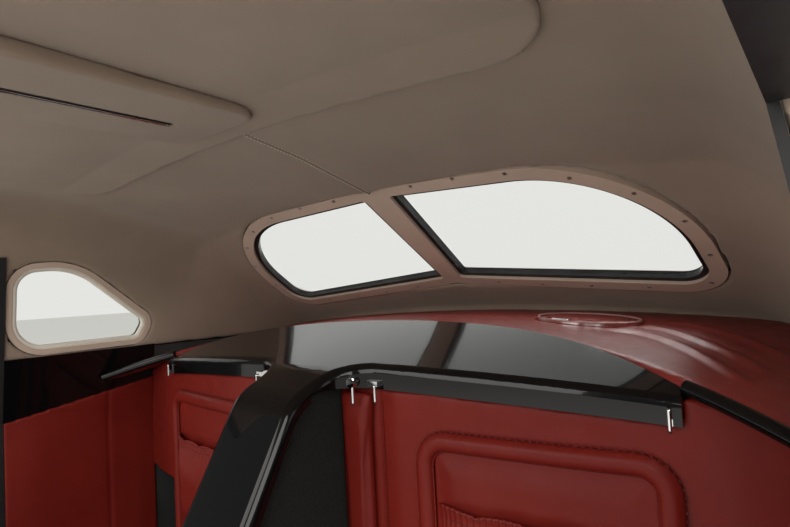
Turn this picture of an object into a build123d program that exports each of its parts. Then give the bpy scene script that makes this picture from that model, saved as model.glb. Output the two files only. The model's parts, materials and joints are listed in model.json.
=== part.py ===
"""Rear cab section of a hot rod coupe. Millimetres, X across, Y rearward, Z up."""
import os

from build123d import *

os.makedirs("parts", exist_ok=True)

# driving dimensions
FRONT_Y = -520.0       # front cut of the roof, sills and floor
JAMB_Y = -292.0        # door opening ends here
JAMB_D = 22.0
DOOR_TOP = 715.0       # top of the door opening
SILL_Z = 60.0
BELT_Z = 515.0         # headlining above, trim below
LINER = 12.0           # headlining thickness
SKIN = 4.0             # outer panel thickness
FLOOR_T = 6.0

# roof line on the centre, y and z, with a crest at each point
CREST = ((-560.0, 860.0), (-230.0, 853.0), (-60.0, 822.0), (100.0, 781.0), (430.0, 570.0))
LOW_HALF, SIDE_LEAN = 646.0, 58.0
TOP_HALF = LOW_HALF - SIDE_LEAN
CROWN = 42.0           # the corner lies this far below the centre
SHOULDER_R = 112.0
CREASE_DROP = 455.0    # side crease below the centre
REAR_R = 130.0         # plan radius at the rear corners

# rear window: two flat panes in a shallow V
WIN_Y, WIN_Z = 115.0, 776.0      # top of the centre line
WIN_RAKE = 32.4                  # pane lies this far off the horizontal
WIN_SWEEP = 6.8
# outline of one opening on its pane: across, down the slope, corner radius
WIN_END = TOP_HALF - 141.0
WIN_PTS = ((28.0, 0.0, 8.0), (WIN_END, 40.0, 215.0), (WIN_END, 337.0, 45.0), (-7.0, 268.0, 10.0))
WIN_BAND = 24.0                  # flat band around the opening
WIN_DEPTH = 26.0
GASKET_W = 9.0
GLASS_T = 5.0

# quarter window outline on the side wall: y, z, corner radius
QTR_PTS = ((-257.0, 532.0, 60.0), (-257.0, 694.0, 45.0), (-148.0, 703.0, 130.0),
           (12.0, 577.0, 26.0), (-10.0, 534.0, 22.0))
QTR_BAND = 10.0
QTR_PROUD = 5.0

# roof lining panel and console
PANEL_HALF, PANEL_Y, PANEL_T, PANEL_R = TOP_HALF - 126.0, -166.0, 6.0, 85.0
CONS_HALF, CONS_REAR, CONS_DROP, CONS_R = 86.0, -199.0, 13.0, 28.0
SLOT_X, SLOT_L, SLOT_W, SLOT_D = -8.0, 238.0, 13.0, 4.0

# shelf: y, centre z, z at SHELF_REF from the centre
SHELF_REF = 560.0
SHELF = ((-180.0, 558.0, 478.0), (-40.0, 560.0, 488.0), (132.0, 562.0, 505.0), (440.0, 561.0, 537.0))
SHELF_T = 14.0
SHELF_ROLL = 9.0
SHELF_ARC_Y, SHELF_ARC_R = 132.0, 1000.0
LID_X, LID_Y, LID_R, LID_T = LOW_HALF - 349.0, 282.0, 74.0, 7.0
RING_W = 5.0
LID_GAP, LID_EDGE = 2.2, 3.5
LID_RISE = 1.5
HINGE_IN, PIN_R, PIN_PLAY = 8.0, 2.0, 0.3

# bulkhead, bowed in plan with its middle forward
BOW_R = 2900.0
BULK_Y = -45.0                   # front face on the centre line
BULK_T = 16.0
# hood: x, top z at the shelf, z of the front edge, z of the lower edge
HOOD_FACE, HOOD_ROLL, HOOD_END = 12.0, 13.0, LOW_HALF - 156.0
HOOD = ((0.0, 562.0, 516.0, 485.0), (HOOD_END - 340.0, 559.0, 514.0, 483.0),
        (HOOD_END - 160.0, 543.0, 506.0, 476.0), (HOOD_END + 30.0, 498.0, 488.0, 462.0))
WING_R = 8.0           # round edge of the shelf beyond the hood

# spine, side profile of its top: y, z, radius; it flares into the hood in plan
SPINE_HALF, SPINE_FLARE, SPINE_CAP, CORE_HALF = 64.0, 60.0, 22.0, 50.0
SPINE_TOP = ((-78.0, 511.0, 110.0), (-150.0, 482.0, 70.0), (-322.0, 196.0, 90.0), (-350.0, 6.0, 0.0))

# padded trim on the bulkhead
BOLSTER_W, BOLSTER_PROUD = 58.0, 14.0
PAD_IN, PAD_OUT = 113.0, 160.0   # pad frame: from the spine, from the side
PAD_LOW, PAD_TOP, PAD_PROUD = 110.0, 434.0, 9.0
PAD_ROLL, PAD_R = 24.0, 44.0
POCKET_IN, POCKET_LOW, POCKET_TOP, POCKET_PROUD = 27.0, 150.0, 347.0, 34.0
POCKET_T = 6.0

TRIM_FRONT, TRIM_REAR = 396.0, 450.0   # side trim below this line, black panel above
BAND_T = 5.0
KNOB_X, KNOB_R, CLIP_X, CLIP_W, CLIP_H = 92.0, 7.0, 110.0, 20.0, 7.0
SEAL_H = 14.0          # rubber above the door opening
BOLT_X, BOLT_Y, BOLT_R = 460.0, 400.0, 6.5

WIDE, LONG, TALL = 2 * LOW_HALF, 2 * CREST[-1][0] - 2 * FRONT_Y, 2 * CREST[0][1]


def save(shape, name):
    """Write one piece, moved so that the whole stands centred on the origin."""
    mid = (FRONT_Y + CREST[-1][0] + LINER + SKIN) / 2
    export_step(Pos(0, -mid, 0) * shape, f"parts/{name}.step")


def poly_face(plane, pts):
    """Closed outline on a plane with a radius at each corner."""
    wire = Polyline(*[(p[0], p[1]) for p in pts], close=True)
    face = make_face(wire)
    for (a, b, r) in pts:
        if r > 0:
            vert = face.vertices().sort_by(lambda v: (v.X - a) ** 2 + (v.Y - b) ** 2)[0]
            face = fillet(vert, r)
    return plane * face


def section(y, centre, grow):
    """Cab outline across the car at one crest."""
    low, top = LOW_HALF + grow, TOP_HALF + grow
    peak, corner, crease = centre + grow, centre + grow - CROWN, centre - CREASE_DROP
    edges = [
        Line((-low, -SILL_Z), (low, -SILL_Z)), Line((low, -SILL_Z), (low, crease)),
        Line((low, crease), (top, corner)),
        ThreePointArc((top, corner), (0, peak), (-top, corner)),
        Line((-top, corner), (-low, crease)), Line((-low, crease), (-low, -SILL_Z)),
    ]
    face = make_face(Curve() + edges)
    tips = [v for v in face.vertices() if v.Y > corner - 1]
    return Plane((0, y, 0), x_dir=(1, 0, 0), z_dir=(0, -1, 0)) * fillet(tips, SHOULDER_R + grow)


def dome(grow):
    """Inside volume of the cab, grown outward by grow."""
    runs = None
    last = CREST[-1][0] + grow
    for (y0, z0), (y1, z1) in zip(CREST, CREST[1:]):
        if (y1, z1) == CREST[-1]:
            z1 += (z1 - z0) / (y1 - y0) * grow
            y1 = last
        run = extrude(section(y0, z0, grow), (Vector(0, y1 - y0, z1 - z0)).length,
                      dir=(0, y1 - y0, z1 - z0))
        runs = run if runs is None else runs + run
    first = CREST[0][0]
    plan = Pos(0, (first + last) / 2) * Rectangle(2 * (LOW_HALF + grow), last - first)
    tips = [v for v in plan.vertices() if v.Y > 0]
    plan = fillet(tips, REAR_R + grow)
    return runs & extrude(plan, TALL)


def box(x0, x1, y0, y1, z0, z1):
    return Pos((x0 + x1) / 2, (y0 + y1) / 2, (z0 + z1) / 2) * Box(x1 - x0, y1 - y0, z1 - z0)


def bowed(near, far, x0, x1, z0, z1):
    """Slab that follows the bow of the bulkhead, from near to far behind its front face."""
    ring = Circle(BOW_R - near) - Circle(BOW_R - far)
    ring = Pos(0, BULK_Y + BOW_R) * ring
    cut = Pos((x0 + x1) / 2, BULK_Y) * Rectangle(x1 - x0, LONG)
    return extrude(Pos(0, 0, z0) * (ring & cut), z1 - z0, dir=(0, 0, 1))


def bow_y(x):
    return BULK_Y + x * x / (2 * BOW_R)


def bowed_pad(near, far, pts):
    """Slab that follows the bow, with a rounded outline in x and z."""
    slab = bowed(near, far, min(p[0] for p in pts) - 9, max(p[0] for p in pts) + 9,
                 min(p[1] for p in pts) - 9, max(p[1] for p in pts) + 9)
    back = Plane((0, LONG / 2, 0), x_dir=(1, 0, 0), z_dir=(0, -1, 0))
    return slab & extrude(poly_face(back, pts), LONG)


def rounded(x0, x1, z0, z1, r):
    return ((x0, z0, r), (x1, z0, r), (x1, z1, r), (x0, z1, r))


def flip(shape):
    return mirror(shape, about=Plane.YZ)


def only(shape):
    """The single solid of a result."""
    return shape.solids().sort_by(lambda s: s.volume)[-1]


# shells
room = dome(0)
lined = dome(LINER)
outer = dome(LINER + SKIN)
front_box = box(-WIDE, WIDE, -LONG, FRONT_Y, -TALL, TALL)
door_box = box(-WIDE, WIDE, -LONG, JAMB_Y, SILL_Z, DOOR_TOP)
above = box(-WIDE, WIDE, -LONG, LONG, BELT_Z, TALL)
below = box(-WIDE, WIDE, -LONG, LONG, 0, BELT_Z)

pane = Plane(
    origin=(0, WIN_Y, WIN_Z),
    x_dir=Vector(1, 0, 0).rotate(Axis.Z, -WIN_SWEEP),
    z_dir=Vector(0, 0, 1).rotate(Axis.X, -WIN_RAKE).rotate(Axis.Z, -WIN_SWEEP),
)


def pane_solid(pts, grow, lo, hi):
    face = poly_face(Plane.XY, pts)
    if grow:
        face = offset(face, grow, kind=Kind.ARC)
    return extrude(pane * (Pos(0, 0, lo) * face), hi - lo)


half = box(0, WIDE, -LONG, LONG, 0, TALL)
through = 3 * WIN_DEPTH
# middle bar: from above one opening's inner edge to below it, across the centre line
top_in, low_in = WIN_PTS[0], WIN_PTS[-1]
bar = ((top_in[0] - 4 * WIN_BAND, -WIN_BAND, 1), (top_in[0] + WIN_BAND, 4 - WIN_BAND, 1),
       (low_in[0] + 2 * WIN_BAND, low_in[1] + WIN_BAND + 2, 1),
       (low_in[0] - 3 * WIN_BAND, low_in[1] + 0.6 * WIN_BAND, 1))
band_r = (pane_solid(WIN_PTS, WIN_BAND, 0, WIN_DEPTH) + pane_solid(bar, 0, 0, WIN_DEPTH)) & half
hole_r = (pane_solid(WIN_PTS, WIN_BAND, -through, through)
          + pane_solid(bar, 0, -through, through)) & half
open_r = pane_solid(WIN_PTS, 0, -through, through)
frame_r = band_r - open_r
window_frame = frame_r + flip(frame_r)
rear_hole = hole_r + flip(hole_r)

gasket_r = pane_solid(WIN_PTS, 0, 6, 20) - pane_solid(WIN_PTS, -GASKET_W, 0, 40)
glass_r = pane_solid(WIN_PTS, -GASKET_W, 12, 12 + GLASS_T)

LEAN = (LOW_HALF - TOP_HALF) / (CREASE_DROP - CROWN)
(near_y, near_z), (far_y, far_z) = CREST[1], CREST[2]
FALL = (near_z - far_z) / (far_y - near_y)


def wall_x(y, z):
    """Inside of the side wall, where the roof line falls from CREST[1] to CREST[2]."""
    return TOP_HALF + LEAN * (near_z - FALL * (y - near_y) - CROWN - z)


QTR_Y, QTR_Z = QTR_PTS[0][0], QTR_PTS[0][1]
wall = Plane(origin=(wall_x(QTR_Y, QTR_Z), 0, QTR_Z), x_dir=(-LEAN * FALL, 1, 0),
             z_dir=(1, LEAN * FALL, LEAN))


def qtr_solid(grow, lo, hi):
    base = QTR_PTS[0][1]
    face = poly_face(Plane.XY, [(y, z - base, r) for (y, z, r) in QTR_PTS])
    if grow:
        face = offset(face, grow, kind=Kind.ARC)
    return extrude(wall * (Pos(0, 0, lo) * face), hi - lo)


qtr_hole_r = qtr_solid(QTR_BAND, -through, through)
qtr_frame_r = qtr_solid(QTR_BAND, -QTR_PROUD, LINER + SKIN + 5) - qtr_solid(0, -through, through)
qtr_gasket_r = qtr_solid(0, 4, 18) - qtr_solid(-7, -20, 40)
qtr_glass_r = qtr_solid(-7, 9, 9 + GLASS_T)
holes = rear_hole + qtr_hole_r + flip(qtr_hole_r)

skin = (outer - lined) - front_box - door_box - holes
liner = (lined - room) - front_box - door_box - holes
save(only(skin & above), "roof_skin")
save(only(skin & below), "body_shell")
save(only(liner & above), "headliner")
save(only(window_frame), "window_frame")

# roof panel and console
flat = Plane.XY
under = dome(-PANEL_T)
panel_pts = ((-PANEL_HALF, FRONT_Y, 0), (PANEL_HALF, FRONT_Y, 0),
             (PANEL_HALF, PANEL_Y, PANEL_R), (-PANEL_HALF, PANEL_Y, PANEL_R))
panel = (room - under) & extrude(poly_face(flat, panel_pts), TALL)
save(only(panel & above), "headliner_panel")
cons_z = CREST[1][1] - PANEL_T - CONS_DROP
cons_pts = ((-CONS_HALF, FRONT_Y, 0), (CONS_HALF, FRONT_Y, 0),
            (CONS_HALF, CONS_REAR, CONS_R), (-CONS_HALF, CONS_REAR, CONS_R))
console = Pos(0, 0, cons_z) * extrude(poly_face(flat, cons_pts), 3 * CROWN)
console = fillet(console.edges().filter_by_position(Axis.Z, cons_z - 0.1, cons_z + 0.1)
                 .filter_by(lambda e: e.center().Y > FRONT_Y + 1), CONS_DROP / 3) & under
slot_y = FRONT_Y + 24 + SLOT_L / 2
slot = Pos(SLOT_X, slot_y, cons_z - 1) * extrude(Rot(0, 0, 90) * SlotOverall(SLOT_L, SLOT_W), SLOT_D + 1)
vent = Pos(SLOT_X, slot_y, cons_z + SLOT_D / 2) * extrude(
    Rot(0, 0, 90) * SlotOverall(SLOT_L, SLOT_W), SLOT_D / 2)
save(only(console - slot), "roof_console")
save(only(vent), "console_vent")

# shelf, lid and hood


def shelf_top(drop):
    """Volume below the crowned shelf surface."""
    cuts, edge_x = [], LOW_HALF + 2 * LINER
    for (y, centre, edge) in SHELF:
        tip = centre - (centre - edge) * (edge_x / SHELF_REF) ** 2 - drop
        foot = tip - 3 * BULK_T - LOW_HALF / 4
        face = make_face(Curve() + [
            ThreePointArc((edge_x, tip), (0, centre - drop), (-edge_x, tip)),
            Line((-edge_x, tip), (-edge_x, foot)), Line((-edge_x, foot), (edge_x, foot)),
            Line((edge_x, foot), (edge_x, tip))])
        cuts.append(Plane((0, y, 0), x_dir=(1, 0, 0), z_dir=(0, -1, 0)) * face)
    return loft(cuts)


mouth = Pos(0, SHELF_ARC_Y - SHELF_ARC_R, 0) * extrude(Circle(SHELF_ARC_R), TALL)
shelf = (shelf_top(0) - mouth) & room
lip = shelf.edges().filter_by(lambda e: abs((e.center() - Vector(0, SHELF_ARC_Y - SHELF_ARC_R, e.center().Z))
                                            .length - SHELF_ARC_R) < 30)
lip = lip.filter_by(lambda e: e.length > LOW_HALF).sort_by(Axis.Z)[-1]
shelf = fillet(lip, SHELF_ROLL) - shelf_top(SHELF_T)


def tilt_at(x, y):
    """Height and slopes of the shelf surface, from the two stations around y."""
    for (y0, c0, e0), (y1, c1, e1) in zip(SHELF, SHELF[1:]):
        if y0 <= y <= y1:
            t = (y - y0) / (y1 - y0)
            centre, edge = c0 + t * (c1 - c0), e0 + t * (e1 - e0)
            fall = (centre - edge) / SHELF_REF ** 2
            return centre - fall * x * x, -2 * fall * x
    return SHELF[-1][1], 0.0


lid_z, lid_slope = tilt_at(LID_X, LID_Y)
deck = Plane(origin=(LID_X, LID_Y, lid_z + LID_RISE), x_dir=(1, 0, lid_slope), z_dir=(-lid_slope, 0, 1))


def puck(radius, lo, hi):
    return extrude(deck * (Pos(0, 0, lo) * Circle(radius)), hi - lo)


def pin(radius, half_len):
    rod = Rot(0, 90, 0) * Cylinder(radius, 2 * half_len)
    return deck * (Pos(0, LID_R - HINGE_IN, (1 - LID_T) / 2) * rod)


rim = LID_R + LID_GAP
shelf = shelf - puck(rim + RING_W, -40, 10)
top = 0.5
ring = puck(rim + RING_W, -SHELF_T * 1.4, top) - puck(rim, -40, 10)
ring = ring - extrude(deck * (Pos(0, 0, top + 3) * Circle(rim + 5)), -5, taper=45)
hinge_half = (rim ** 2 - (LID_R - HINGE_IN) ** 2) ** 0.5 + 1.5
ring = ring - pin(PIN_R, hinge_half)
grip = deck * (Pos(-26, -LID_R + 18, 0) * extrude(RectangleRounded(26, 11, 3), -5))
disc = Pos(0, 0, top) * Cylinder(LID_R, LID_T, align=(Align.CENTER, Align.CENTER, Align.MAX))
disc = fillet(disc.faces().sort_by(Axis.Z)[-1].outer_wire().edges(), LID_EDGE)
lid = deck * disc - grip - pin(PIN_R + PIN_PLAY, LID_R)
save(only(shelf), "parcel_shelf")
save(only(ring), "lid_ring")
save(only(lid), "shelf_lid")
save(only(pin(PIN_R, hinge_half)), "hinge_pin")


def hood_station(x, z1, z0):
    """Side profile under the hood and, further forward, the spine, at x from the centre."""
    y0, y1 = bow_y(x) - HOOD_FACE, SHELF_ARC_Y + 3 * HOOD_FACE
    arc_y = SHELF_ARC_Y - SHELF_ARC_R + (SHELF_ARC_R ** 2 - x * x) ** 0.5
    rise = (z1 - z0) / max(arc_y - y0, 2 * HOOD_ROLL)
    shift = z0 + rise * (SPINE_TOP[0][0] - y0) - SPINE_TOP[0][1]
    pts = [(y1, -SILL_Z, 0), (y1, z0 + rise * (y1 - y0), 0)]
    pts += [(y, z + shift, r) for (y, z, r) in SPINE_TOP] + [(SPINE_TOP[-1][0], -SILL_Z, 0)]
    return poly_face(Plane((x, 0, 0), x_dir=(0, 1, 0), z_dir=(1, 0, 0)), pts)


def hood_low(x, low):
    face = poly_face(Plane.XY, ((-LONG, low, 0), (LONG, low, 0), (LONG, TALL, 0), (-LONG, TALL, 0)))
    return Plane((x, 0, 0), x_dir=(0, 1, 0), z_dir=(1, 0, 0)) * face


def spine_side(drop):
    """Side outline of the spine below its top line, moved in by drop."""
    (ya, za, ra), (yb, zb, rb), (yc, zc, rc), (yd, zd, _) = SPINE_TOP
    (_, z1, z0, _), y2 = HOOD[0], BULK_Y + 4 * BULK_T
    z2 = za + (z1 - z0) / (SHELF_ARC_Y - BULK_Y + HOOD_FACE) * (y2 - ya)
    return poly_face(Plane.YZ, (
        (y2, z2 - drop, 0), (ya, za - drop, ra), (yb + 0.3 * drop, zb - 0.9 * drop, rb),
        (yc + drop, zc - 0.5 * drop, rc), (yd + drop, zd, 0), (y2, zd, 0)))


stations = [(-x, *rest) for (x, *rest) in HOOD[:0:-1]] + list(HOOD)
swell = loft([hood_station(x, z1, z0) for (x, z1, z0, _) in stations])
over = loft([hood_low(x, low) for (x, _, _, low) in stations])
front = Pos(0, BULK_Y + BOW_R) * Circle(BOW_R + HOOD_FACE)
lane = Pos(0, SPINE_TOP[-1][0] / 2) * Rectangle(2 * SPINE_HALF, -SPINE_TOP[-1][0] + SPINE_CAP)
outline = (Rectangle(2 * HOOD_END, LONG) & front & Pos(0, SHELF_ARC_Y - SHELF_ARC_R) * Circle(SHELF_ARC_R)) + lane
corners = outline.vertices().filter_by(lambda v: abs(abs(v.X) - SPINE_HALF) < 1 and v.Y > SPINE_TOP[1][0])
outline = fillet(corners, SPINE_FLARE)
moulding = only(swell & extrude(Pos(0, 0, -SILL_Z / 2) * outline, TALL))


def on_rim(edge):
    """Upper edge along the front of the hood, round the flare and down the spine."""
    c = edge.center()
    if c.Z < 3 * FLOOR_T or abs(edge.tangent_at(0.5).Z) > 0.97 or abs(c.X) > HOOD_END - 1:
        return False
    reach = (c.X ** 2 + (c.Y - BULK_Y - BOW_R) ** 2) ** 0.5
    flare = SPINE_HALF + SPINE_FLARE
    along = abs(reach - BOW_R - HOOD_FACE) < 1 and abs(c.X) > flare - 20
    return along or (SPINE_HALF - 1 < abs(c.X) < flare + 4 and c.Y < BULK_Y - HOOD_FACE + 8)


moulding = fillet(moulding.edges().filter_by(on_rim), HOOD_ROLL)
seam_y = bow_y(0) - HOOD_FACE - SPINE_FLARE - 3
inside = extrude(spine_side(SPINE_CAP), WIDE, both=True)
ahead = box(-WIDE, WIDE, -LONG, seam_y, 0, TALL)
behind = bowed(0, LONG, -WIDE, WIDE, -TALL, TALL)
cap = (moulding & ahead) - inside - box(-WIDE, WIDE, -LONG, LONG, -TALL, FLOOR_T)
hood = ((moulding - ahead) & over & room) - shelf
core = extrude(spine_side(SPINE_CAP), CORE_HALF, both=True) - behind - hood
board = (bowed(0, BULK_T, -WIDE, WIDE, FLOOR_T, TALL) & room & shelf_top(SHELF_T + 1)) - shelf
board = board - (over & box(-HOOD_END, HOOD_END, -LONG, LONG, 0, TALL))
save(only(cap), "spine_cap")
save(only(core), "spine_core")
save(only(board), "bulkhead")
save(only(hood), "shelf_hood")

# sides
lining = (lined - room) & box(-WIDE, WIDE, JAMB_Y + JAMB_D, LONG, FLOOR_T, BELT_Z)
save(only(lining), "side_lining")
inset = dome(-BAND_T)
strip = (room - inset) - behind - box(-WIDE, WIDE, -LONG, JAMB_Y + JAMB_D, -TALL, TALL)
post = box(-WIDE, WIDE, JAMB_Y, JAMB_Y + JAMB_D, FLOOR_T, DOOR_TOP)
jamb = ((lined - inset) & post & below) + ((room - inset) & post & above)
lintel = (lined - inset) & box(-WIDE, WIDE, FRONT_Y, JAMB_Y, DOOR_TOP - SEAL_H, DOOR_TOP)
jamb = jamb + lintel
floor = (lined & box(-WIDE, WIDE, FRONT_Y, LONG, 0, FLOOR_T))
for sx in (-1, 1):
    for sy in (-1, 1):
        floor = floor - Pos(sx * BOLT_X / 2, sy * BOLT_Y / 2) * Cylinder(BOLT_R, 4 * FLOOR_T)
save(only(floor), "floor_pan")

edge_y = bow_y(LOW_HALF)
trim_low = extrude(poly_face(Plane.YZ, (
    (JAMB_Y, FLOOR_T, 0), (edge_y + BULK_T, FLOOR_T, 0),
    (edge_y + BULK_T, TRIM_REAR, 0), (JAMB_Y, TRIM_FRONT, 0))), WIDE)
trim_high = extrude(poly_face(Plane.YZ, (
    (JAMB_Y, TRIM_FRONT, 0), (edge_y + BULK_T, TRIM_REAR, 0),
    (edge_y + BULK_T, BELT_Z + BAND_T, 0), (JAMB_Y, BELT_Z + BAND_T, 0))), WIDE)
pad_x0, pad_x1 = SPINE_HALF + PAD_IN, LOW_HALF - PAD_OUT


def hood_z(x):
    """Height of the hood's lower edge."""
    for (x0, _, _, a), (x1, _, _, b) in zip(HOOD, HOOD[1:]):
        if x0 <= x <= x1:
            return a + (b - a) * (x - x0) / (x1 - x0)


flare_in = SPINE_HALF + SPINE_FLARE - KNOB_X
knob_y = bow_y(0) - HOOD_FACE - SPINE_FLARE + (SPINE_FLARE ** 2 - flare_in ** 2) ** 0.5
knob = Pos(KNOB_X, knob_y - KNOB_R / 4, hood_z(KNOB_X) + KNOB_R + 2) * (
    Rot(90, 0, 0) * Cylinder(KNOB_R, KNOB_R * 1.6))
clip_z = hood_z(CLIP_X) + 4
collar_x = HOOD_END - HOOD_ROLL
collar_z = hood_z(HOOD_END)
wing_xs = [HOOD_END + 2 + t * (TOP_HALF + 2 * LINER - HOOD_END) for t in (0, 0.35, 0.7, 1.1)]
wing_line = []
for x in wing_xs:
    y = SHELF_ARC_Y - SHELF_ARC_R + (SHELF_ARC_R ** 2 - x * x) ** 0.5 - 1
    wing_line.append((x, y, tilt_at(x, y)[0] - 0.7 * WING_R))
wing_path = Spline(*wing_line)
wing = sweep(Plane(origin=wing_path @ 0, z_dir=wing_path % 0) * Circle(WING_R), path=wing_path)

# the car's left side, +X, and its mirror image
near_side = {
    "rear_gasket": gasket_r, "rear_glass": glass_r, "quarter_frame": qtr_frame_r,
    "quarter_gasket": qtr_gasket_r, "quarter_glass": qtr_glass_r,
    "side_trim": strip & trim_low,
    "side_panel": (strip & trim_high) - qtr_hole_r - shelf,
    "door_jamb": jamb & box(TOP_HALF / 2, WIDE, -LONG, LONG, 0, TALL),
    "rail_collar": bowed(-HOOD_FACE - 2, -HOOD_FACE, collar_x, collar_x + 5, collar_z + 2, collar_z + 9),
    "rail_knob": knob - hood,
    "rail_clip": bowed(-HOOD_FACE - 7, -HOOD_FACE, CLIP_X, CLIP_X + CLIP_W, clip_z, clip_z + CLIP_H) - hood,
    "wing_trim": (wing & inset) - shelf - hood,
    "bolster": bowed_pad(-BOLSTER_PROUD, 0, rounded(
        CORE_HALF + 4, CORE_HALF + 4 + BOLSTER_W, FLOOR_T + 30, hood_z(CORE_HALF + BOLSTER_W) - 4, 10)),
    "pad_roll": bowed_pad(-PAD_PROUD, 0, rounded(pad_x0, pad_x1, PAD_LOW, PAD_TOP, PAD_R)) - bowed_pad(
        -8 * PAD_PROUD, 4 * PAD_PROUD, rounded(
            pad_x0 + PAD_ROLL, pad_x1 - PAD_ROLL, PAD_LOW + PAD_ROLL, PAD_TOP - PAD_ROLL,
            PAD_R - 0.6 * PAD_ROLL)),
    "map_pocket": bowed_pad(-POCKET_PROUD, 0, rounded(
        pad_x0 + POCKET_IN, pad_x1 - POCKET_IN, POCKET_LOW, POCKET_TOP, 14)) - bowed(
        POCKET_T - POCKET_PROUD, -1.5, pad_x0 + POCKET_IN + POCKET_T, pad_x1 - POCKET_IN - POCKET_T,
        POCKET_LOW + POCKET_T, TALL),
}
for name, shape in near_side.items():
    save(only(shape), f"{name}_left")
    save(only(flip(shape)), f"{name}_right")
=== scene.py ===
"""Looks of the rear cab section. Metres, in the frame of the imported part."""
import json
import math

import bmesh
import bpy
from mathutils import Matrix, Vector, noise
from mathutils.bvhtree import BVHTree
from mathutils.kdtree import KDTree


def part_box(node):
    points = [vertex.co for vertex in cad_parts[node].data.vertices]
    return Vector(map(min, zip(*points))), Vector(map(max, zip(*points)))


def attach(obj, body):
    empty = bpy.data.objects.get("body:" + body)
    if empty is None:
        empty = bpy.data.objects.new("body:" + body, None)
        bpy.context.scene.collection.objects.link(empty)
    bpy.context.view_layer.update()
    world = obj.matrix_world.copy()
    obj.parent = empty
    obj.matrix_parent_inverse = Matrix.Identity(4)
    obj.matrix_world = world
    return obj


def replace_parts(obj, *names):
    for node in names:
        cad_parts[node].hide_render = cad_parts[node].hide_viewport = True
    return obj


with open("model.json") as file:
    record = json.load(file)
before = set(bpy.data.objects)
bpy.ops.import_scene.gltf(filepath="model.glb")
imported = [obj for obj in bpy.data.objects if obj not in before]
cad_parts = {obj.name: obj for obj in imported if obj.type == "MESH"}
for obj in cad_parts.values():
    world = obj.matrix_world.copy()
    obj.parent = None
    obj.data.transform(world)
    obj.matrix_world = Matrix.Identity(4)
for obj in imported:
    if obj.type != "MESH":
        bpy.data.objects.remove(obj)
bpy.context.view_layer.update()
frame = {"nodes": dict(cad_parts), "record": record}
nodes = frame["nodes"]
scene = bpy.context.scene
SIDES = ((1, "left"), (-1, "right"))
FORWARD = Vector((0, -1, 0))

# sizes repeated from the part, in metres
BOW_R, FACE_Y = 2.900, -0.008          # bulkhead: plan radius, front face on the centre
PAD_X0, PAD_X1 = 0.177, 0.486          # pad frame, outer edges
PAD_Z0, PAD_Z1 = 0.110, 0.434
ROLL_W, ROLL_H, ROLL_R = 0.024, 0.0105, 0.044    # roll: width, height, outer corner radius
POCKET_X0, POCKET_X1 = 0.204, 0.459
POCKET_Z0, POCKET_Z1, POCKET_OUT = 0.150, 0.347, 0.033
LID_AT, LID_R, LID_SLOPE = Vector((0.297, 0.319, 0.5520)), 0.074, -0.0775
WIN_AT = Vector((0.0, 0.152, 0.776))   # upper end of the window's centre line
WIN_RAKE, WIN_SWEEP = math.radians(32.4), math.radians(6.8)
# quarter window opening: y, z, corner radius
QTR = ((-0.220, 0.532, 0.060), (-0.220, 0.694, 0.045), (-0.111, 0.703, 0.130),
       (0.049, 0.577, 0.026), (0.027, 0.534, 0.022))

# sewing
SEAM_X, SEAM_STITCH_X = 0.116, 0.1225  # seam beside the bolster and its stitches
GATHER_PITCH = 0.0085
STITCH_PITCH, STITCH_L, STITCH_R = 0.0065, 0.0042, 0.0006
LID_SEAM = 0.011                       # lid edge to its stitched groove
BOLSTER_CAP, PRESSURE, CLOTH_FRAMES = 0.006, 4.0, 20
# ribs pressed into the shelf: x, y
RIBS = (
    ((0.352, 0.238), (0.405, 0.235), (0.456, 0.197), (0.504, 0.138), (0.545, 0.075)),
    ((0.384, 0.297), (0.427, 0.282), (0.472, 0.240), (0.515, 0.195), (0.560, 0.130)),
    ((0.410, 0.352), (0.455, 0.337), (0.500, 0.305), (0.540, 0.262), (0.580, 0.205)),
)
# screws of the rear window frame: across and down the pane
SCREWS = (
    (0.090, -0.012), (0.175, -0.008), (0.262, 0.006), (0.345, 0.040), (0.412, 0.092), (0.452, 0.165),
    (0.459, 0.250), (0.440, 0.327), (0.345, 0.333), (0.250, 0.321), (0.160, 0.308), (0.070, 0.294),
)
SCREW_R = 0.0034


def face_y(x):
    """Front face of the bulkhead."""
    return FACE_Y + BOW_R - math.sqrt(BOW_R * BOW_R - x * x)


# camera in the door opening
PICTURE_W, SENSOR_W = 790.0, 36.0      # px, mm
EYE = Vector((0.62, -0.583, 0.62))
YAW, PITCH, ROLL, FOCAL_PX = math.radians(38.7), math.radians(2.45), math.radians(-3.1), 550.0
ahead = Vector((-math.sin(YAW) * math.cos(PITCH), math.cos(YAW) * math.cos(PITCH), math.sin(PITCH)))
side = Vector((math.cos(YAW), math.sin(YAW), 0.0))
up = side.cross(ahead)
right = math.cos(ROLL) * side + math.sin(ROLL) * up
over = -math.sin(ROLL) * side + math.cos(ROLL) * up
cam_data = bpy.data.cameras.new("camera")
cam_data.sensor_width = SENSOR_W
cam_data.lens = FOCAL_PX / PICTURE_W * SENSOR_W
cam_data.clip_start = 0.01
camera = bpy.data.objects.new("camera", cam_data)
scene.collection.objects.link(camera)
turn = Matrix((right, over, -ahead)).transposed().to_4x4()
camera.matrix_world = Matrix.Translation(EYE) @ turn
scene.camera = camera

# materials


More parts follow.
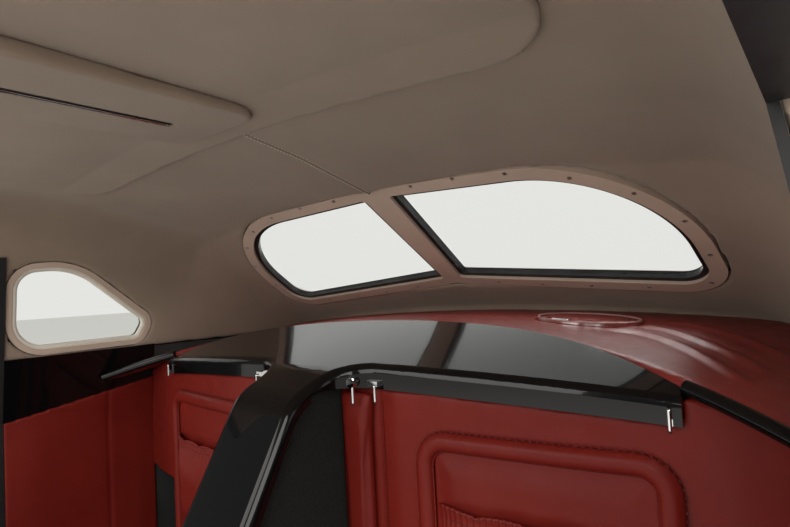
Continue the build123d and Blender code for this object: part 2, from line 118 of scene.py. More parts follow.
class Mat:
    """Small helper for node materials."""

    def __init__(self, name, color, rough, metallic=0.0):
        self.mat = bpy.data.materials.new(name)
        self.mat.use_nodes = True
        self.tree = self.mat.node_tree
        self.bsdf = next(n for n in self.tree.nodes if n.type == "BSDF_PRINCIPLED")
        self.bsdf.inputs["Base Color"].default_value = (*color, 1.0)
        self.bsdf.inputs["Roughness"].default_value = rough
        self.bsdf.inputs["Metallic"].default_value = metallic
        self.coord = self.tree.nodes.new("ShaderNodeTexCoord")
        self.height = None

    def noise(self, scale, detail=3.0, rough=0.55, stretch=None):
        node = self.tree.nodes.new("ShaderNodeTexNoise")
        node.inputs["Scale"].default_value = scale
        node.inputs["Detail"].default_value = detail
        node.inputs["Roughness"].default_value = rough
        self.link_coord(node, stretch)
        return node.outputs["Fac"]

    def voronoi(self, scale, feature="DISTANCE_TO_EDGE", stretch=None):
        node = self.tree.nodes.new("ShaderNodeTexVoronoi")
        node.feature = feature
        node.inputs["Scale"].default_value = scale
        self.link_coord(node, stretch)
        return node.outputs["Distance"]

    def weave(self, scale, direction):
        node = self.tree.nodes.new("ShaderNodeTexWave")
        node.bands_direction = direction
        node.inputs["Scale"].default_value = scale
        node.inputs["Distortion"].default_value = 1.2
        node.inputs["Detail"].default_value = 2.0
        self.link_coord(node, None)
        return node.outputs["Fac"]

    def link_coord(self, node, stretch):
        if stretch:
            mapping = self.tree.nodes.new("ShaderNodeMapping")
            mapping.inputs["Scale"].default_value = stretch
            self.tree.links.new(self.coord.outputs["Object"], mapping.inputs["Vector"])
            self.tree.links.new(mapping.outputs["Vector"], node.inputs["Vector"])
        else:
            self.tree.links.new(self.coord.outputs["Object"], node.inputs["Vector"])

    def ramp(self, fac, stops, target):
        node = self.tree.nodes.new("ShaderNodeValToRGB")
        ramp = node.color_ramp
        while len(ramp.elements) < len(stops):
            ramp.elements.new(0.5)
        for element, (pos, color) in zip(ramp.elements, stops):
            element.position = pos
            element.color = (*color, 1.0) if len(color) == 3 else color
        self.tree.links.new(fac, node.inputs["Fac"])
        self.tree.links.new(node.outputs["Color"], self.bsdf.inputs[target])
        return self

    def bump(self, fac, distance, strength=1.0):
        node = self.tree.nodes.new("ShaderNodeBump")
        node.inputs["Distance"].default_value = distance
        node.inputs["Strength"].default_value = strength
        self.tree.links.new(fac, node.inputs["Height"])
        if self.height is not None:
            self.tree.links.new(self.height, node.inputs["Normal"])
        self.height = node.outputs["Normal"]
        self.tree.links.new(self.height, self.bsdf.inputs["Normal"])
        return self

    def coat(self, weight, rough):
        self.bsdf.inputs["Coat Weight"].default_value = weight
        self.bsdf.inputs["Coat Roughness"].default_value = rough
        return self

    def sheen(self, weight, rough=0.5):
        self.bsdf.inputs["Sheen Weight"].default_value = weight
        self.bsdf.inputs["Sheen Roughness"].default_value = rough
        return self


def grey(v):
    return (v, v, v)


def fabric(name, low, high):
    mat = Mat(name, high, 0.88).sheen(0.2)
    mat.ramp(mat.noise(6.0, 5.0), [(0.3, low), (0.7, high)], "Base Color")
    mat.bump(mat.weave(420.0, "X"), 0.0002, 0.35)
    mat.bump(mat.weave(420.0, "Y"), 0.0002, 0.35)
    mat.bump(mat.noise(1100.0, 2.0), 0.0003, 0.5)
    return mat


def hide(name, dark, light, rough):
    mat = Mat(name, light, rough)
    mat.ramp(mat.noise(4.0, 5.0), [(0.3, dark), (0.72, light)], "Base Color")
    mat.ramp(mat.noise(34.0, 4.0), [(0.3, grey(rough - 0.07)), (0.7, grey(rough + 0.08))], "Roughness")
    mat.bump(mat.voronoi(520.0), 0.0003, 0.45)
    mat.bump(mat.noise(90.0, 4.0), 0.0005, 0.18)
    mat.bsdf.inputs["Specular IOR Level"].default_value = 0.2
    return mat.coat(0.03, 0.30)


cloth = fabric("headlining", (0.300, 0.228, 0.172), (0.355, 0.272, 0.208))
leather = hide("red_leather", (0.135, 0.009, 0.006), (0.200, 0.016, 0.010), 0.44)
# shelf leather: a lighter, pinker copy of the red leather, painted light on the window-lit shelf; the lid wears it too
shelf_hide_lit = hide("shelf_leather", (0.190, 0.022, 0.018), (0.260, 0.036, 0.030), 0.36)

thread = Mat("thread", (0.09, 0.008, 0.006), 0.7)
thread.bump(thread.noise(2500.0), 0.0002, 0.5)

gloss = Mat("gloss_black", (0.003, 0.003, 0.0034), 0.16).coat(0.45, 0.02)
gloss.bsdf.inputs["Specular IOR Level"].default_value = 0.2
gloss.ramp(gloss.noise(3.0), [(0.3, grey(0.10)), (0.7, grey(0.18))], "Roughness")
gloss.bump(gloss.noise(14.0, 2.0), 0.0006, 0.10)

body = Mat("body_gloss", (0.008, 0.008, 0.009), 0.25).coat(1.0, 0.03)
body.ramp(body.noise(2.0, 2.0), [(0.3, grey(0.20)), (0.7, grey(0.28))], "Roughness")
body.bump(body.noise(2200.0, 1.0), 0.00002, 0.3)

floor_paint = Mat("floor_paint", (0.03, 0.03, 0.032), 0.5)
floor_paint.ramp(floor_paint.noise(9.0), [(0.3, grey(0.022)), (0.7, grey(0.045))], "Base Color")
floor_paint.bump(floor_paint.noise(500.0), 0.0003, 0.3)

frame_mat = Mat("frame_paint", (0.62, 0.49, 0.40), 0.42)
frame_mat.ramp(frame_mat.noise(6.0), [(0.3, (0.58, 0.455, 0.37)), (0.7, (0.66, 0.525, 0.43))], "Base Color")
frame_mat.bump(frame_mat.noise(300.0, 3.0), 0.0002, 0.3)

# cream: the roof stitching's own thread colour; on the quarter-window bead it is a painted highlight along the frame's
# rolled edge
cream = Mat("cream_bead", (0.85, 0.80, 0.70), 0.4)
cream.ramp(cream.noise(20.0), [(0.3, (0.80, 0.75, 0.65)), (0.7, (0.90, 0.85, 0.75))], "Base Color")
cream.bump(cream.noise(400.0), 0.0002, 0.3)

rubber = Mat("rubber_black", (0.01, 0.01, 0.011), 0.5)
rubber.ramp(rubber.noise(25.0), [(0.3, grey(0.42)), (0.7, grey(0.6))], "Roughness")
rubber.bump(rubber.noise(600.0), 0.0002, 0.3)

chrome = Mat("chrome_trim", (0.82, 0.82, 0.83), 0.08, 1.0)
chrome.ramp(chrome.noise(30.0), [(0.3, grey(0.05)), (0.7, grey(0.12))], "Roughness")

# pale pink of the ring round the lid: a painted highlight on its rim
bead = Mat("lid_bead", (0.42, 0.20, 0.18), 0.35)
bead.ramp(bead.noise(40.0), [(0.3, (0.38, 0.17, 0.155)), (0.7, (0.46, 0.23, 0.21))], "Base Color")

steel = Mat("screw_steel", (0.42, 0.39, 0.35), 0.35, 0.8)
steel.ramp(steel.noise(300.0), [(0.3, grey(0.3)), (0.7, grey(0.45))], "Roughness")

# carpet: its own dark grey pushed near black, painted shade for the recess beside the spine
carpet = Mat("carpet", (0.008, 0.009, 0.007), 0.95).sheen(0.04)
carpet.ramp(carpet.noise(260.0, 2.0), [(0.25, (0.004, 0.0045, 0.0035)), (0.75, (0.014, 0.0155, 0.0125))], "Base Color")
carpet.bump(carpet.noise(520.0, 2.0), 0.002, 0.9)

board = Mat("dark_board", (0.03, 0.03, 0.03), 0.8)
board.ramp(board.noise(12.0), [(0.3, grey(0.022)), (0.7, grey(0.04))], "Base Color")
board.bump(board.noise(200.0), 0.0005, 0.4)

lens = Mat("lamp_lens", (0.012, 0.012, 0.012), 0.3)
lens.ramp(lens.noise(60.0), [(0.3, grey(0.22)), (0.7, grey(0.4))], "Roughness")
lens.bump(lens.voronoi(260.0), 0.0002, 0.3)

glass = Mat("clear_glass", (0.97, 1.0, 0.985), 0.0)
glass.bsdf.inputs["Transmission Weight"].default_value = 1.0
glass.bsdf.inputs["IOR"].default_value = 1.05

SLOTS = {
    "headlining": cloth, "red_leather": leather, "gloss_black": gloss, "body_gloss": body,
    "floor_paint": floor_paint, "frame_paint": frame_mat, "rubber_black": rubber,
    "chrome_trim": chrome, "carpet": carpet, "dark_board": board, "lamp_lens": lens,
    "clear_glass": glass,
}
for part in frame["record"]["subparts"]:
    mesh = nodes[part["node"]].data
    mesh.materials.clear()
    mesh.materials.append(SLOTS[part["material_slot"]].mat)

# mesh helpers


def add(name, verts, faces, mat, body_name="cab", slot=None):
    """A new mesh piece that rides on a body."""
    mesh = bpy.data.meshes.new(name)
    mesh.from_pydata([tuple(v) for v in verts], [], faces)
    mesh.validate()
    bm = bmesh.new()
    bm.from_mesh(mesh)
    bmesh.ops.recalc_face_normals(bm, faces=bm.faces)
    bm.to_mesh(mesh)
    bm.free()
    mesh.shade_smooth()
    return place(bpy.data.objects.new(name, mesh), mat, body_name)


def place(obj, mat, body_name="cab"):
    """Put obj in the scene with one material, riding on a body."""
    if obj.name not in scene.collection.objects:
        scene.collection.objects.link(obj)
    obj.data.materials.clear()
    obj.data.materials.append(mat.mat)
    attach(obj, body_name)
    return obj


def sheet_grid(nu, nv, at, thick, name, mat, **where):
    """Closed shell: at(u, v) gives a point and its outward direction, u and v from 0 to 1."""
    front, rear = [], []
    for j in range(nv + 1):
        for i in range(nu + 1):
            point, out = at(i / nu, j / nv)
            front.append(point)
            rear.append(point - out * thick)
    count = len(front)
    faces = []
    for j in range(nv):
        for i in range(nu):
            a = j * (nu + 1) + i
            quad = (a, a + 1, a + nu + 2, a + nu + 1)
            faces += [quad, tuple(count + k for k in reversed(quad))]
    ring = (list(range(nu)) + [j * (nu + 1) + nu for j in range(nv)]
            + [nv * (nu + 1) + i for i in range(nu, 0, -1)] + [j * (nu + 1) for j in range(nv, 0, -1)])
    for a, b in zip(ring, ring[1:] + ring[:1]):
        faces.append((b, a, a + count, b + count))
    return add(name, front + rear, faces, mat, **where)


def tube(name, points, radius, mat, closed=False, sides=8, squash=1.0, **where):
    """Round or flattened bead along points."""
    verts, faces, total = [], [], len(points)
    for k, p in enumerate(points):
        ahead_k = points[(k + 1) % total] if closed or k < total - 1 else p
        back_k = points[k - 1] if closed or k > 0 else p
        run = (ahead_k - back_k).normalized()
        flat = run.cross(Vector((0, 0, 1)))
        flat = flat.normalized() if flat.length > 1e-4 else Vector((1, 0, 0))
        lift = flat.cross(run)
        for s in range(sides):
            a = 2 * math.pi * s / sides
            verts.append(p + flat * (radius * math.cos(a)) + lift * (radius * squash * math.sin(a)))
    for k in range(total if closed else total - 1):
        for s in range(sides):
            a, b = k * sides + s, k * sides + (s + 1) % sides
            c = (k + 1) % total * sides
            faces.append((a, b, c + (s + 1) % sides, c + s))
    if not closed:
        faces += [tuple(range(sides))[::-1], tuple((total - 1) * sides + s for s in range(sides))]
    return add(name, verts, faces, mat, **where)


class Stitches:
    """Thread stitches gathered into one mesh."""

    def __init__(self):
        self.verts, self.faces = [], []

    def one(self, a, b, out, radius):
        """One stitch from a to b, lying on a surface that faces out."""
        run = (b - a).normalized()
        wide = run.cross(out).normalized()
        base = len(self.verts)
        for t, swell in ((0.0, 0.35), (0.3, 1.0), (0.7, 1.0), (1.0, 0.35)):
            mid = a.lerp(b, t) + out * (radius * (1.2 * swell - 0.5))
            for s in range(6):
                ang = math.pi * s / 3
                self.verts.append(mid + wide * (radius * swell * math.cos(ang))
                                  + out * (radius * swell * math.sin(ang)))
        for k in range(3):
            for s in range(6):
                n = (s + 1) % 6
                low_ring, top_ring = base + 6 * k, base + 6 * k + 6
                self.faces.append((low_ring + s, low_ring + n, top_ring + n, top_ring + s))
        self.faces += [tuple(base + s for s in range(5, -1, -1)), tuple(base + 18 + s for s in range(6))]

    def line(self, points, outs, pitch=STITCH_PITCH, length=STITCH_L, radius=STITCH_R):
        """Stitches along a fine line of points."""
        gone, due = 0.0, 0.0
        for (a, b, out) in zip(points, points[1:], outs):
            step = (b - a).length
            while step > 0 and due <= gone + step:
                start = a.lerp(b, (due - gone) / step)
                self.one(start, start + (b - a).normalized() * length, out, radius)
                due += pitch
            gone += step

    def build(self, name, mat, body_name="cab"):
        """Make the gathered stitches one piece."""
        return add(name, self.verts, self.faces, mat, body_name=body_name)


def dressed(node, name, voxel, mat, smooth, body_name="cab"):
    """Even mesh with a node's shape that stands in for it."""
    obj = bpy.data.objects.new(name, nodes[node].data.copy())
    scene.collection.objects.link(obj)
    mod = obj.modifiers.new("even", "REMESH")
    mod.mode, mod.voxel_size, mod.adaptivity = "VOXEL", voxel, 0.0
    mod = obj.modifiers.new("soft", "SMOOTH")
    mod.factor, mod.iterations = 0.5, smooth
    bake(obj)
    place(obj, mat, body_name)
    obj.data.shade_smooth()
    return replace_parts(obj, node)


def shift(obj, move):
    """Move every vertex by what move gives for its place and normal."""
    rows = [(v.co.copy(), v.normal.copy()) for v in obj.data.vertices]
    flat = []
    for co, normal in rows:
        flat += (co + move(co, normal))[:]
    obj.data.vertices.foreach_set("co", flat)
    obj.data.update()


def bake(obj):
    """Apply every modifier of obj."""
    deps = bpy.context.evaluated_depsgraph_get()
    mesh = bpy.data.meshes.new_from_object(obj.evaluated_get(deps))
    obj.modifiers.clear()
    obj.data = mesh


def bolster(side_name):
    """Stuffed leather column: its node's shape blown up as cloth, held near that shape."""
    obj = dressed(f"bolster_{side_name}", f"bolster_leather_{side_name}", 0.005, leather, 2)
    rest = [v.co.copy() for v in obj.data.vertices]
    normals = [v.normal.copy() for v in obj.data.vertices]
    for v, n in zip(obj.data.vertices, normals):
        v.co -= n * BOLSTER_CAP * 0.3
    mod = obj.modifiers.new("stuff", "CLOTH")
    mod.settings.use_pressure = True
    mod.settings.uniform_pressure_force = PRESSURE
    mod.settings.effector_weights.gravity = 0.0
    mod.settings.quality = 6
    mod.point_cache.frame_start, mod.point_cache.frame_end = 1, CLOTH_FRAMES
    for f in range(1, CLOTH_FRAMES + 1):
        scene.frame_set(f)
    bake(obj)
    scene.frame_set(1)
    for v, r in zip(obj.data.vertices, rest):
        move = v.co - r
        if move.length > BOLSTER_CAP:
            v.co = r + move * (BOLSTER_CAP / move.length)


def finder(*names):
    """Ray search against nodes of the part."""
    verts, faces = [], []
    for n in names:
        base = len(verts)
        verts += [v.co.copy() for v in nodes[n].data.vertices]
        faces += [[base + i for i in p.vertices] for p in nodes[n].data.polygons]
    return BVHTree.FromPolygons(verts, faces)


def ripple(x, seed):
    """Uneven gathers: a wave whose pitch and height wander."""
    wander = noise.noise(Vector((x * 18.0, seed, 0.3)))
    return math.sin(x * 2 * math.pi / GATHER_PITCH + 2.2 * wander) * (0.65 + 0.5 * wander)


def smooth_step(a, b, v):
    """Smooth rise from 0 at a to 1 at b."""
    t = min(1.0, max(0.0, (v - a) / (b - a)))
    return t * t * (3 - 2 * t)


def round_rect(x0, x1, z0, z1, r, step=0.003):
    """Points and outward directions round a rounded rectangle, in x and z."""
    pts = []
    corners = ((x1 - r, z1 - r, 0), (x0 + r, z1 - r, 90), (x0 + r, z0 + r, 180), (x1 - r, z0 + r, 270))
    for k, (cx, cz, start) in enumerate(corners):
        n = max(2, int(math.pi / 2 * r / step))
        for i in range(n + 1):
            a = math.radians(start + 90 * i / n)
            pts.append((cx + r * math.cos(a), cz + r * math.sin(a), math.cos(a), math.sin(a)))
        nx, nz, ns = corners[(k + 1) % 4]
        a = math.radians(ns)
        end = (nx + r * math.cos(a), nz + r * math.sin(a))
        here = pts[-1]
        gap = math.hypot(end[0] - here[0], end[1] - here[1])
        for i in range(1, int(gap / step)):
            t = i * step / gap
            pts.append((here[0] + t * (end[0] - here[0]), here[1] + t * (end[1] - here[1]), here[2], here[3]))
    return pts


red_thread, tan_thread = Stitches(), Stitches()

# bulkhead leather


def bulkhead_leather():
    """Cover with a seam beside each bolster, soft fields and puckers round the pads."""
    obj = dressed("bulkhead", "bulkhead_leather", 0.005, leather, 2)
    mid_x, mid_z = (PAD_X0 + PAD_X1) / 2, (PAD_Z0 + PAD_Z1) / 2
    half_x, half_z = (PAD_X1 - PAD_X0) / 2, (PAD_Z1 - PAD_Z0) / 2

    def move(co, normal):
        x, y, z = abs(co.x), co.y, co.z
        if y > face_y(x) + 0.004:
            return Vector()
        # distance outside the rounded pad frame
        qx, qz = abs(x - mid_x) - half_x + ROLL_R, abs(z - mid_z) - half_z + ROLL_R
        out = math.hypot(max(qx, 0), max(qz, 0)) + min(max(qx, qz), 0) - ROLL_R
        puff = 0.0035 * smooth_step(0.0, 0.05, abs(out)) * smooth_step(SEAM_X, SEAM_X + 0.034, x)
        seam = 0.003 * (1 - smooth_step(0.0, 0.006, abs(x - SEAM_X)))
        pucker = 0.0009 * ripple((z if qx > qz else x), 1.0) * (1 - smooth_step(0.0, 0.022, abs(out)))
        return Vector((0, seam - puff - pucker, 0))

    shift(obj, move)
    stitch_y = face_y(SEAM_STITCH_X) - 0.0012
    for s in (-1, 1):
        pts = [Vector((s * SEAM_STITCH_X, stitch_y, 0.04 + 0.004 * i)) for i in range(108)]
        red_thread.line(pts, [FORWARD] * len(pts))


def pad_roll(s, side_name):
    """Stuffed roll round the pad, stitched and puckered along its outer edge."""
    half = ROLL_W / 2
    path = round_rect(PAD_X0 + half, PAD_X1 - half, PAD_Z0 + half, PAD_Z1 - half, ROLL_R - half)
    verts, faces, ring, run = [], [], 16, 0.0
    outer, outs = [], []
    for k, (x, z, nx, nz) in enumerate(path):
        if k:
            run += math.hypot(x - path[k - 1][0], z - path[k - 1][1])
        gather = ripple(run, 5.0)
        for i in range(ring):
            t = i / (ring - 1)
            across = -math.cos(math.pi * t)
            high = ROLL_H * math.sin(math.pi * t) ** 0.75
            edge = smooth_step(0.35, 0.95, across)
            high *= 1 - edge * 0.42 * (0.5 + 0.5 * gather)
            across += edge * 0.05 * gather
            px, pz = x + nx * across * half, z + nz * across * half
            verts.append(Vector((s * px, face_y(px) - 0.0028 - high, pz)))
        px, pz = x + nx * half * 1.02, z + nz * half * 1.02
        outer.append(Vector((s * px, face_y(px) - 0.0036, pz)))
        outs.append(FORWARD)
    total = len(path)
    for k in range(total):
        a, b = k * ring, (k + 1) % total * ring
        for i in range(ring - 1):
            quad = (a + i, a + i + 1, b + i + 1, b + i)
            faces.append(quad if s < 0 else quad[::-1])
        quad = (a + ring - 1, a, b, b + ring - 1)
        faces.append(quad if s < 0 else quad[::-1])
    obj = add(f"pad_roll_leather_{side_name}", verts, faces, leather, slot="red_leather")
    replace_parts(obj, f"pad_roll_{side_name}")
    red_thread.line(outer + outer[:1], outs + outs[:1], pitch=GATHER_PITCH, length=0.0050, radius=0.0009)
    inner = round_rect(PAD_X0 + ROLL_W, PAD_X1 - ROLL_W, PAD_Z0 + ROLL_W, PAD_Z1 - ROLL_W, ROLL_R - ROLL_W)
    tube(f"pad_welt_{side_name}", [Vector((s * x, face_y(x) - 0.0042, z)) for (x, z, _, _) in inner],
         0.0013, leather, closed=True, slot="red_leather")


def pad_field(s, side_name):
    """Crowned leather inside the roll."""
    x0, x1 = PAD_X0 + ROLL_W, PAD_X1 - ROLL_W
    z0, z1 = PAD_Z0 + ROLL_W, PAD_Z1 - ROLL_W
    r = ROLL_R - ROLL_W

    def at(u, v):
        x, z = x0 + u * (x1 - x0), z0 + v * (z1 - z0)
        dx, dz = min(x - x0, x1 - x), min(z - z0, z1 - z)
        if dx < r and dz < r:
            far = math.hypot(r - dx, r - dz)
            if far > r:
                cx, cz = (x0 + r if u < 0.5 else x1 - r), (z0 + r if v < 0.5 else z1 - r)
                x, z = cx + (x - cx) * r / far, cz + (z - cz) * r / far
                dx = dz = 0.0
        rise = 0.0045 * smooth_step(0.0, 0.035, min(dx, dz))
        rise += 0.0012 * noise.noise(Vector((x * 14.0, z * 9.0, 2.0))) * smooth_step(0.0, 0.03, min(dx, dz))
        return Vector((s * x, face_y(x) - 0.0018 - rise, z)), FORWARD

    obj = sheet_grid(72, 76, at, 0.0008, f"pad_field_leather_{side_name}", leather, slot="red_leather")


def map_pocket(s, side_name):
    """Gathered pouch with an elastic hem."""
    wide = POCKET_X1 - POCKET_X0

    def at(u, v):
        x = POCKET_X0 + u * wide
        edge = min(u, 1 - u) * wide
        hem = abs(math.sin(math.pi * 4 * u)) ** 0.4
        z = POCKET_Z0 + v * (POCKET_Z1 - POCKET_Z0) - (1 - hem) * 0.006 * v ** 6
        low, high = z - POCKET_Z0, POCKET_Z1 - z
        body_out = POCKET_OUT - 0.003
        bulge = smooth_step(0.0, 0.05, edge) ** 0.7 * smooth_step(-0.004, 0.07, low) ** 0.7
        bulge *= 1 - 0.22 * smooth_step(0.06, 0.0, high)
        fade = smooth_step(0.11, 0.012, high) * smooth_step(0.0, 0.02, edge)
        gather = 0.0018 * ripple(x, 3.0 + s) * fade
        lip = 0.0018 * smooth_step(0.012, 0.004, high) * smooth_step(0.0, 0.01, edge)
        out = 0.004 + (body_out - 0.008) * bulge + gather + lip
        return Vector((s * x, face_y(x) - out, z)), FORWARD

    obj = sheet_grid(190, 52, at, 0.0028, f"map_pocket_leather_{side_name}", leather, slot="red_leather")
    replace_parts(obj, f"map_pocket_{side_name}")
    for v in (0.925, 0.985):
        pts = [at(0.03 + 0.94 * i / 120, v)[0] + 0.0004 * FORWARD for i in range(121)]
        red_thread.line(pts, [FORWARD] * len(pts), pitch=0.006, length=0.004)


bulkhead_leather()
for s, side_name in SIDES:
    pad_roll(s, side_name)
    pad_field(s, side_name)
    map_pocket(s, side_name)
    bolster(side_name)

# side trims, carpet
for s, side_name in SIDES:
    trim = dressed(f"side_trim_{side_name}", f"side_trim_leather_{side_name}", 0.0042, leather, 1)
    low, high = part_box(f"side_trim_{side_name}")

    def trim_move(co, normal):
        if normal.x * s > -0.5:
            return Vector()
        edge = min(co.y - low.y, high.y - co.y, co.z - low.z)
        fold = 0.0022 * smooth_step(0.0, 0.05, edge)
        fold -= 0.0022 * (1 - smooth_step(0.0, 0.006, abs(co.y - (low.y * 0.35 + high.y * 0.65))))
        return Vector((-s * fold, 0, 0))

    shift(trim, trim_move)

pile = dressed("spine_core", "spine_carpet", 0.005, carpet, 2)
shift(pile, lambda co, normal: normal * (0.0011 * noise.noise(co * 210.0) - 0.0006) * (co.z > 0.012))

# shelf and lid


def along(points, steps=16):
    """Smooth line through plan points."""
    pts = [points[0], *points, points[-1]]
    out = []
    for k in range(1, len(pts) - 2):
        p0, p1, p2, p3 = (Vector(p) for p in pts[k - 1:k + 3])
        for i in range(steps):
            t = i / steps
            out.append(0.5 * (2 * p1 + (p2 - p0) * t + (2 * p0 - 5 * p1 + 4 * p2 - p3) * t * t
                              + (3 * p1 - p0 - 3 * p2 + p3) * t ** 3))
    return out + [Vector(points[-1])]


def shelf_leather():
    """Shelf cover with its pressed ribs."""
    obj = dressed("parcel_shelf", "shelf_leather", 0.005, shelf_hide_lit, 3)
    ribs = [along([(s * x, y) for (x, y) in rib]) for rib in RIBS for s in (1, -1)]
    tree, ends = KDTree(sum(len(rib) for rib in ribs)), []
    for rib in ribs:
        for k, p in enumerate(rib):
            tree.insert((p[0], p[1], 0.0), len(ends))
            ends.append(smooth_step(0, 8, k) * smooth_step(0, 8, len(rib) - 1 - k))
    tree.balance()

    def move(co, normal):
        if normal.z < 0.5:
            return Vector()
        _, k, d = tree.find((co.x, co.y, 0.0))
        lift = ends[k] * (0.0028 * math.exp(-(d / 0.0080) ** 2) - 0.0009 * math.exp(-((d - 0.015) / 0.004) ** 2))
        return Vector((0, 0, lift + 0.0006 * noise.noise(co * 9.0)))

    shift(obj, move)


shelf_leather()
deck_up = Vector((-LID_SLOPE, 0, 1)).normalized()
deck_x = Vector((1, 0, LID_SLOPE)).normalized()
deck_y = deck_up.cross(deck_x)


def on_deck(a, radius, lift):
    """Point round the lid's centre, in the slope of the shelf."""
    return LID_AT + deck_x * (radius * math.cos(a)) + deck_y * (radius * math.sin(a)) + deck_up * lift


def lid_leather():
    """Lid cushion with a stitched groove and a rimmed finger grip."""
    obj = dressed("shelf_lid", "lid_leather", 0.0025, shelf_hide_lit, 2, "lid")

    def move(co, normal):
        local = co - LID_AT
        far = math.hypot(local.dot(deck_x), local.dot(deck_y))
        if normal.dot(deck_up) < 0.6:
            return Vector()
        crown = 0.0016 * (1 - (far / LID_R) ** 2)
        groove = 0.0009 * math.exp(-((far - LID_R + LID_SEAM) / 0.0016) ** 2)
        return deck_up * (crown - groove)

    shift(obj, move)
    ring = Stitches()
    pts = [on_deck(math.radians(a), LID_R - LID_SEAM, -0.0006) for a in range(0, 361, 2)]
    ring.line(pts, [deck_up] * len(pts))
    ring.build("lid_stitching", thread, "lid")
    turn_deck = Matrix((deck_x, deck_y, deck_up)).transposed()
    grip_pts = []
    for (x, z, _, _) in round_rect(-0.040, -0.012, -0.0625, -0.0495, 0.003, 0.0015):
        grip_pts.append(LID_AT + turn_deck @ Vector((x, z, 0.0004)))
    tube("lid_grip_rim", grip_pts, 0.0011, chrome, closed=True, body_name="lid", slot="chrome_trim")


lid_leather()
# ring round the lid, pale pink as a painted highlight
tube("lid_bead_ring", [on_deck(math.radians(3 * a), LID_R + 0.0048, 0.0003) for a in range(120)],
     0.0019, bead, closed=True)

# roof lining pieces
panel = dressed("headliner_panel", "headliner_panel_cloth", 0.0034, cloth, 2)
shift(panel, lambda co, normal: Vector((0, 0, 0.0005 * noise.noise(Vector((co.x * 7, co.y * 9, 1.0))))))
console = dressed("roof_console", "roof_console_cloth", 0.003, cloth, 2)
roof = finder("headliner")
lining = dressed("headliner", "headliner_cloth", 0.0065, cloth, 3)
shift(lining, lambda co, normal: normal * (0.0006 * noise.noise(co * 6.0) - 0.0004))


def under_roof(x, y, drop):
    """Point below the lining, or none where it has a hole."""
    hit = roof.ray_cast(Vector((x, y, 0.62)), Vector((0, 0, 1)))
    return hit[0] - Vector((0, 0, drop)) if hit[0] else None


seam = [p for p in (under_roof(0.0, -0.126 + 0.004 * i, 0.0003) for i in range(66)) if p]
tube("roof_seam", seam, 0.0016, cloth, squash=0.55, slot="headlining")
for gap in (-0.0045, 0.0045):
    pts = [p for p in (under_roof(gap, -0.124 + 0.003 * i, 0.0) for i in range(86)) if p]
    tan_thread.line(pts, [Vector((0, 0, -1))] * len(pts), pitch=0.006, length=0.004, radius=0.0005)

# dark slot in the console: a flat dark strip laid on the face, painted shade for the slot's depth, with a bright blade
# along one side
low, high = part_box("console_vent")
mid_x, face_z = (low.x + high.x) / 2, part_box("roof_console")[0].z
run_y = [low.y + 0.006 + 0.004 * i for i in range(57)]
tube("console_slot", [Vector((mid_x, y, face_z - 0.0003)) for y in run_y],
     0.0062, lens, squash=0.12, slot="lamp_lens")
tube("console_blade", [Vector((mid_x + 0.0028, y, face_z - 0.0016)) for y in run_y[1:-1]],
     0.0022, chrome, squash=0.5, slot="chrome_trim")

# windows: screws and beads, fittings on the moulding
pane_turn = Matrix.Rotation(-WIN_SWEEP, 3, "Z") @ Matrix.Rotation(-WIN_RAKE, 3, "X")


def on_pane(s, across, down, lift):
    """Point on one pane; down is along the slope, lift is into the cab."""
    p = WIN_AT + pane_turn @ Vector((across, down, -lift))
    return Vector((s * p.x, p.y, p.z))


band = finder("window_frame")


def screw(name, at, out):
    """Small screw head with a sunk socket."""
    bm = bmesh.new()
    for r0, r1, z0, z1 in ((SCREW_R, 0.0030, 0.0, 0.0009), (0.0030, 0.0012, 0.0009, 0.0011)):
        loops = [[bm.verts.new((r * math.cos(a), r * math.sin(a), z)) for a in
                  [math.radians(30 * k) for k in range(12)]] for r, z in ((r0, z0), (r1, z1))]
        for k in range(12):
            bm.faces.new((loops[0][k], loops[0][(k + 1) % 12], loops[1][(k + 1) % 12], loops[1][k]))
    centre = [bm.verts.new((0.0012 * math.cos(a), 0.0012 * math.sin(a), 0.0004)) for a in
              [math.radians(30 * k) for k in range(12)]]
    bm.faces.new(centre)
    mesh = bpy.data.meshes.new(name)
    bm.to_mesh(mesh)
    bm.free()
    obj = bpy.data.objects.new(name, mesh)
    obj.matrix_world = Matrix.Translation(at) @ out.to_track_quat("Z", "Y").to_matrix().to_4x4()
    return place(obj, steel)


for s, side_name in SIDES:
    for k, (across, down) in enumerate(SCREWS):
        start = on_pane(s, across, down, 0.06)
        toward = (on_pane(s, across, down, 0.0) - start).normalized()
        hit = band.ray_cast(start, toward)
        if hit[0]:
            out = hit[1] if hit[1].dot(toward) < 0 else -hit[1]
            screw(f"frame_screw_{side_name}_{k}", hit[0], out)


def rounded(corners, inset, step=4):
    """Rounded polygon in y and z, moved inward."""
    out, count = [], len(corners)
    for k, (y, z, r) in enumerate(corners):
        here = Vector((y, z))
        back = (Vector(corners[k - 1][:2]) - here).normalized()
        fore = (Vector(corners[(k + 1) % count][:2]) - here).normalized()
        half = back.angle(fore) / 2
        centre = here + (back + fore).normalized() * (r / math.sin(half))
        a = here + back * (r / math.tan(half)) - centre
        b = here + fore * (r / math.tan(half)) - centre
        sweep = a.angle_signed(b)
        n = max(3, int(abs(math.degrees(sweep)) / step))
        for i in range(n + 1):
            t = -sweep * i / n
            arm = Vector((a.x * math.cos(t) - a.y * math.sin(t), a.x * math.sin(t) + a.y * math.cos(t)))
            out.append(centre + arm * ((r - inset) / r))
    return out


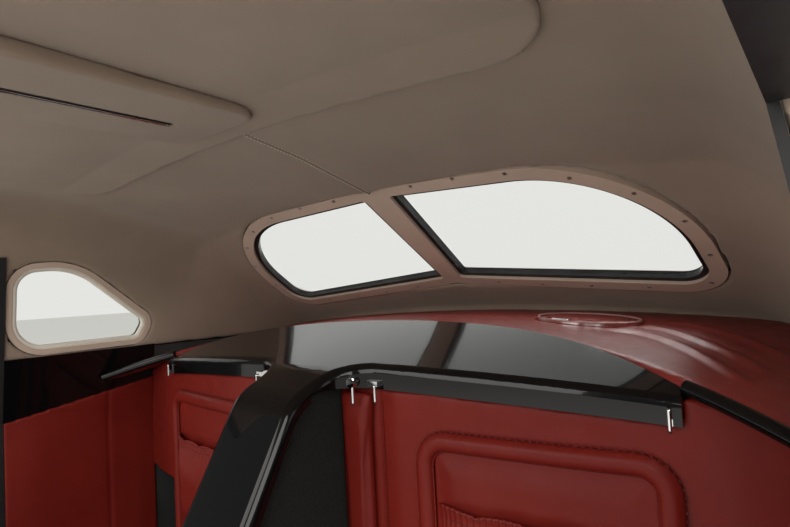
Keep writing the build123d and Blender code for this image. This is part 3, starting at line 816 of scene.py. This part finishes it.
for s, side_name in SIDES:
    ring_tree = finder(f"quarter_gasket_{side_name}", f"quarter_frame_{side_name}")
    pts = []
    for p in rounded(QTR, 0.004):
        hit = ring_tree.ray_cast(Vector((s * 0.55, p.x, p.y)), Vector((s, 0, 0)))
        if hit[0]:
            pts.append(hit[0] - Vector((s * 0.0004, 0, 0)))
    if len(pts) > 20:
        # cream bead, lighter than the frame paint: painted highlight along the window's rolled inner edge
        tube(f"quarter_bead_{side_name}", pts, 0.0060, cream, closed=True, sides=10, slot="frame_paint")
    # fittings on the moulding's face: stem below the knob, rod at the clip, rod at the collar end
    low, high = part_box(f"rail_knob_{side_name}")
    mid = (low + high) / 2
    stem = [Vector((mid.x, mid.y - 0.001, mid.z - 0.001 * i)) for i in range(0, 31, 3)]
    tube(f"knob_stem_{side_name}", stem, 0.0027, chrome, sides=12, slot="chrome_trim")
    low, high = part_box(f"rail_clip_{side_name}")
    edge = high.x - 0.003 if s > 0 else low.x + 0.003
    rod = [Vector((edge, low.y - 0.001, high.z - 0.004 - 0.001 * i)) for i in range(0, 25, 3)]
    tube(f"clip_rod_{side_name}", rod, 0.0022, chrome, sides=12, slot="chrome_trim")
    low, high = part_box(f"rail_collar_{side_name}")
    mid = (low + high) / 2
    rod = [Vector((mid.x, low.y - 0.0015, high.z + 0.011 - 0.001 * i)) for i in range(0, 26, 3)]
    tube(f"end_rod_{side_name}", rod, 0.0021, chrome, sides=12, slot="chrome_trim")

red_thread.build("red_stitching", thread)
tan_thread.build("roof_stitching", cream)

# floor, light
ground_mat = Mat("ground", (0.80, 0.79, 0.77), 0.9)
ground_mesh = bpy.data.meshes.new("ground")
ground_mesh.from_pydata([(-30, -30, 0), (30, -30, 0), (30, 30, 0), (-30, 30, 0)], [], [(0, 1, 2, 3)])
ground_mesh.materials.append(ground_mat.mat)
ground = bpy.data.objects.new("ground", ground_mesh)
scene.collection.objects.link(ground)

world = bpy.data.worlds.new("world")
scene.world = world
world.use_nodes = True
sky = world.node_tree
back = sky.nodes["Background"]
back.inputs["Color"].default_value = (1.0, 0.98, 0.95, 1.0)
back.inputs["Strength"].default_value = 0.8
dim = sky.nodes.new("ShaderNodeBackground")
dim.inputs["Color"].default_value = (1.0, 0.97, 0.93, 1.0)
dim.inputs["Strength"].default_value = 0.16
rays = sky.nodes.new("ShaderNodeLightPath")
blend = sky.nodes.new("ShaderNodeMixShader")
sky.links.new(rays.outputs["Is Glossy Ray"], blend.inputs[0])
sky.links.new(back.outputs[0], blend.inputs[1])
sky.links.new(dim.outputs[0], blend.inputs[2])
clear = sky.nodes.new("ShaderNodeMixShader")
sky.links.new(rays.outputs["Is Transmission Ray"], clear.inputs[0])
sky.links.new(blend.outputs[0], clear.inputs[1])
sky.links.new(back.outputs[0], clear.inputs[2])
sky.links.new(clear.outputs[0], sky.nodes["World Output"].inputs["Surface"])


def lamp(name, place_at, target, size, power, color=(1, 1, 1)):
    data = bpy.data.lights.new(name, "AREA")
    data.shape = "RECTANGLE"
    data.size, data.size_y = size
    data.energy = power
    data.color = color
    obj = bpy.data.objects.new(name, data)
    scene.collection.objects.link(obj)
    obj.location = place_at
    obj.rotation_euler = (Vector(target) - Vector(place_at)).to_track_quat("-Z", "Y").to_euler()
    return obj


lamp("door_light", (1.5, -1.6, 1.5), (0.0, 0.0, 0.5), (1.6, 1.2), 22.0, (1.0, 0.97, 0.93))
lamp("front_light", (-0.6, -2.2, 1.3), (0.0, 0.1, 0.5), (1.8, 1.2), 18.0, (1.0, 0.97, 0.93))
lamp("window_light", (0.5, 1.6, 1.9), (0.15, 0.1, 0.55), (1.4, 0.5), 16.0)

scene.view_settings.view_transform = "Standard"
